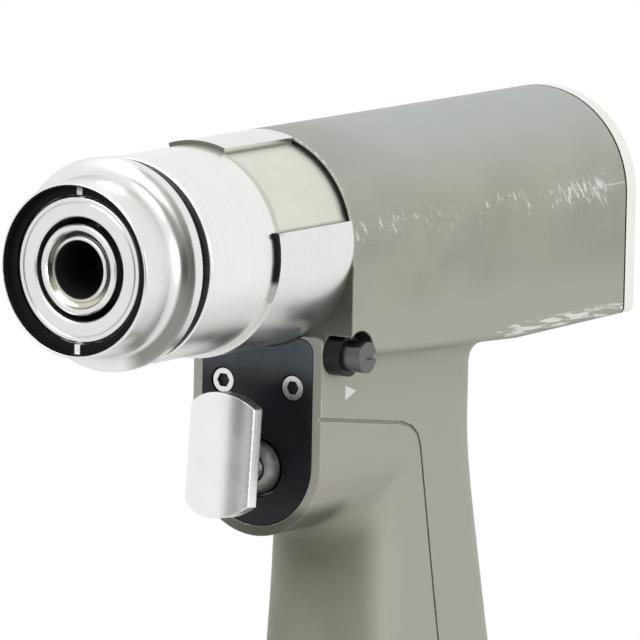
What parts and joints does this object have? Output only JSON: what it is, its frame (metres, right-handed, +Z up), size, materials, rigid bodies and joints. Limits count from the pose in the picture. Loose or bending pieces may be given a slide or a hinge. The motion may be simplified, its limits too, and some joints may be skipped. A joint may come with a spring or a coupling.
{
  "type": "surgical power drill",
  "caption": "Battery-powered pistol-grip surgical drill with a cannulated spindle, pull-back collar, finger trigger, cross selector and slide-off battery.",
  "frame": {"origin": "centre of the spindle's mouth, on the spindle axis", "axes": "+X runs back along the barrel, +Z is up, -Y is the drill's left side"},
  "size_m": [0.1803, 0.0478, 0.1882],
  "materials": {
    "housing": "matte hard coat, worn to bare metal on its edges",
    "cap_metal": "satin",
    "bright_steel": "polished, lightly worn",
    "satin_steel": "satin",
    "screw_steel": "bright",
    "black_plate": "blue-black, half matte",
    "index_black": "black with white index marks",
    "seal_rubber": "black",
    "knob_black": "half matte",
    "knob_grey": "satin",
    "bearing_steel": "ground",
    "gear_steel": "oiled",
    "spring_steel": "drawn wire",
    "motor_shell": "turned",
    "core_iron": "laminated",
    "winding_copper": "enamelled wire",
    "contact_brass": "bright",
    "bush_bronze": "turned",
    "board_green": "half gloss",
    "inner_plastic": "moulded",
    "pack_plastic": "fine moulded grain",
    "lid_plastic": "moulded",
    "cell_wrap": "shrink film"
  },
  "bodies": {
    "root": {"main_housing": "housing", "socket_ring": "bright_steel", "lock_balls": "bearing_steel", "neck_seal": "seal_rubber", "spindle_seal": "seal_rubber", "nose_sleeve": "satin_steel", "slot_seals": "seal_rubber", "land_ring": "satin_steel", "nose_gasket": "seal_rubber", "front_bearing": "bearing_steel", "rear_bearing": "bearing_steel", "bearing_spacer": "bearing_steel", "ring_gear": "gear_steel", "stator_core": "core_iron", "stator_windings": "winding_copper", "motor_can": "motor_shell", "motor_end_cap": "motor_shell", "motor_bearings": "bearing_steel", "cannula_tube": "satin_steel", "controller_board": "board_green", "rear_gasket": "seal_rubber", "rear_cap": "cap_metal", "rear_cap_screws": "screw_steel", "wire_port": "satin_steel", "trigger_plate": "black_plate", "trigger_plate_screws": "screw_steel", "trigger_bush": "bush_bronze", "switch_module": "inner_plastic", "dock_seal": "seal_rubber", "dock_contacts": "inner_plastic", "collar_spring": "spring_steel", "trigger_spring": "spring_steel"},
    "release": {"release_collar": "bright_steel", "index_ring": "index_black"},
    "spindle": {"spindle": "bright_steel", "planet_carrier": "bearing_steel", "carrier_plate": "bearing_steel", "planet_pins": "bearing_steel"},
    "planet_a": {"planet_gear_a": "gear_steel"},
    "planet_b": {"planet_gear_b": "gear_steel"},
    "planet_c": {"planet_gear_c": "gear_steel"},
    "rotor": {"rotor_shaft": "gear_steel", "rotor_magnet": "core_iron"},
    "trigger": {"trigger_blade": "satin_steel", "trigger_stem": "bright_steel"},
    "selector": {"selector_shaft": "knob_grey", "selector_collars": "knob_black", "selector_knob_left": "knob_grey", "selector_knob_right": "knob_grey"},
    "battery": {"battery_lid": "lid_plastic", "battery_lid_screws": "screw_steel", "battery_terminals": "contact_brass", "battery_case": "pack_plastic", "battery_cells": "cell_wrap", "cell_straps": "contact_brass"}
  },
  "joints": [
    {"name": "collar_slide", "type": "slide", "parent": "root", "child": "release", "axis": [1, 0, 0], "range_m": [0, 0.003], "stiffness_N_per_m": 1500, "deforming": ["collar_spring"]},
    {"name": "spindle_spin", "type": "hinge", "parent": "root", "child": "spindle", "pos_m": [0, 0, 0], "axis": [1, 0, 0], "continuous": true},
    {"name": "planet_a_spin", "type": "hinge", "parent": "spindle", "child": "planet_a", "pos_m": [0.0485, 0, 0.01013], "axis": [1, 0, 0], "continuous": true},
    {"name": "planet_b_spin", "type": "hinge", "parent": "spindle", "child": "planet_b", "pos_m": [0.0485, -0.00877, -0.00506], "axis": [1, 0, 0], "continuous": true},
    {"name": "planet_c_spin", "type": "hinge", "parent": "spindle", "child": "planet_c", "pos_m": [0.0485, 0.00877, -0.00506], "axis": [1, 0, 0], "continuous": true},
    {"name": "rotor_spin", "type": "hinge", "parent": "root", "child": "rotor", "pos_m": [0.0485, 0, 0], "axis": [1, 0, 0], "continuous": true},
    {"name": "trigger_slide", "type": "slide", "parent": "root", "child": "trigger", "axis": [1, 0, 0], "range_m": [0, 0.006], "stiffness_N_per_m": 800, "deforming": ["trigger_spring"]},
    {"name": "selector_turn", "type": "hinge", "parent": "root", "child": "selector", "pos_m": [0.0684, 0, -0.023], "axis": [0, 1, 0], "range_deg": [-30, 30]},
    {"name": "battery_slide", "type": "slide", "parent": "root", "child": "battery", "axis": [0, 0, -1], "range_m": [0, 0.03]}
  ],
  "couplings": [
    {"joint": "planet_a_spin", "follows": "spindle_spin", "ratio": -2.8},
    {"joint": "planet_b_spin", "follows": "spindle_spin", "ratio": -2.8},
    {"joint": "planet_c_spin", "follows": "spindle_spin", "ratio": -2.8},
    {"joint": "rotor_spin", "follows": "spindle_spin", "ratio": 4.5}
  ]
}
